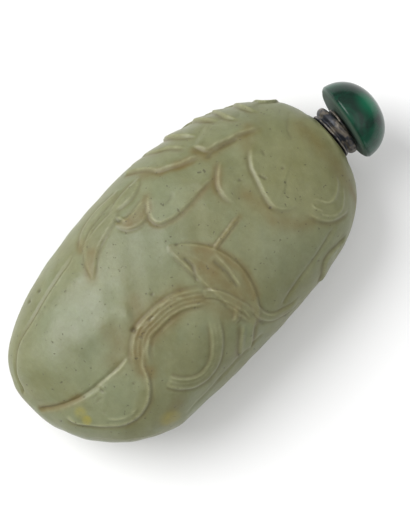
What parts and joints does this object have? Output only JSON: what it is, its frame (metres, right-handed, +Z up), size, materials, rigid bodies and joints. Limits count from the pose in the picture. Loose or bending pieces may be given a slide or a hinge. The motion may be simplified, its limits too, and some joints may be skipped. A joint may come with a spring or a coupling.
{
  "type": "snuff bottle",
  "caption": "Small carved jade bottle in lobed melon form with leaves and vine in low relief, hollow, with a narrow mouth closed by a domed glass stopper on a silver collar.",
  "frame": {"origin": "centre of the bottle's plan box, on the surface that it lies on", "axes": "+Z up out of the carved front face, +Y along the bottle towards its stopper, +X to the right seen from above with the stopper pointing away"},
  "size_m": [0.034, 0.0716, 0.0237],
  "materials": {
    "jade": "waxy polish, cloudy pale grey-green with russet-brown skin in the carved lines",
    "cork": "dry, stained orange-brown",
    "silver": "pitted silver, tarnished blue-black, worn brighter on its edges",
    "green_glass": "polished, deep green, nearly opaque"
  },
  "bodies": {
    "root": {"bottle": "jade", "stopper_cork": "cork", "stopper_collar": "silver", "stopper_disc": "silver", "stopper_dome": "green_glass"}
  },
  "joints": []
}
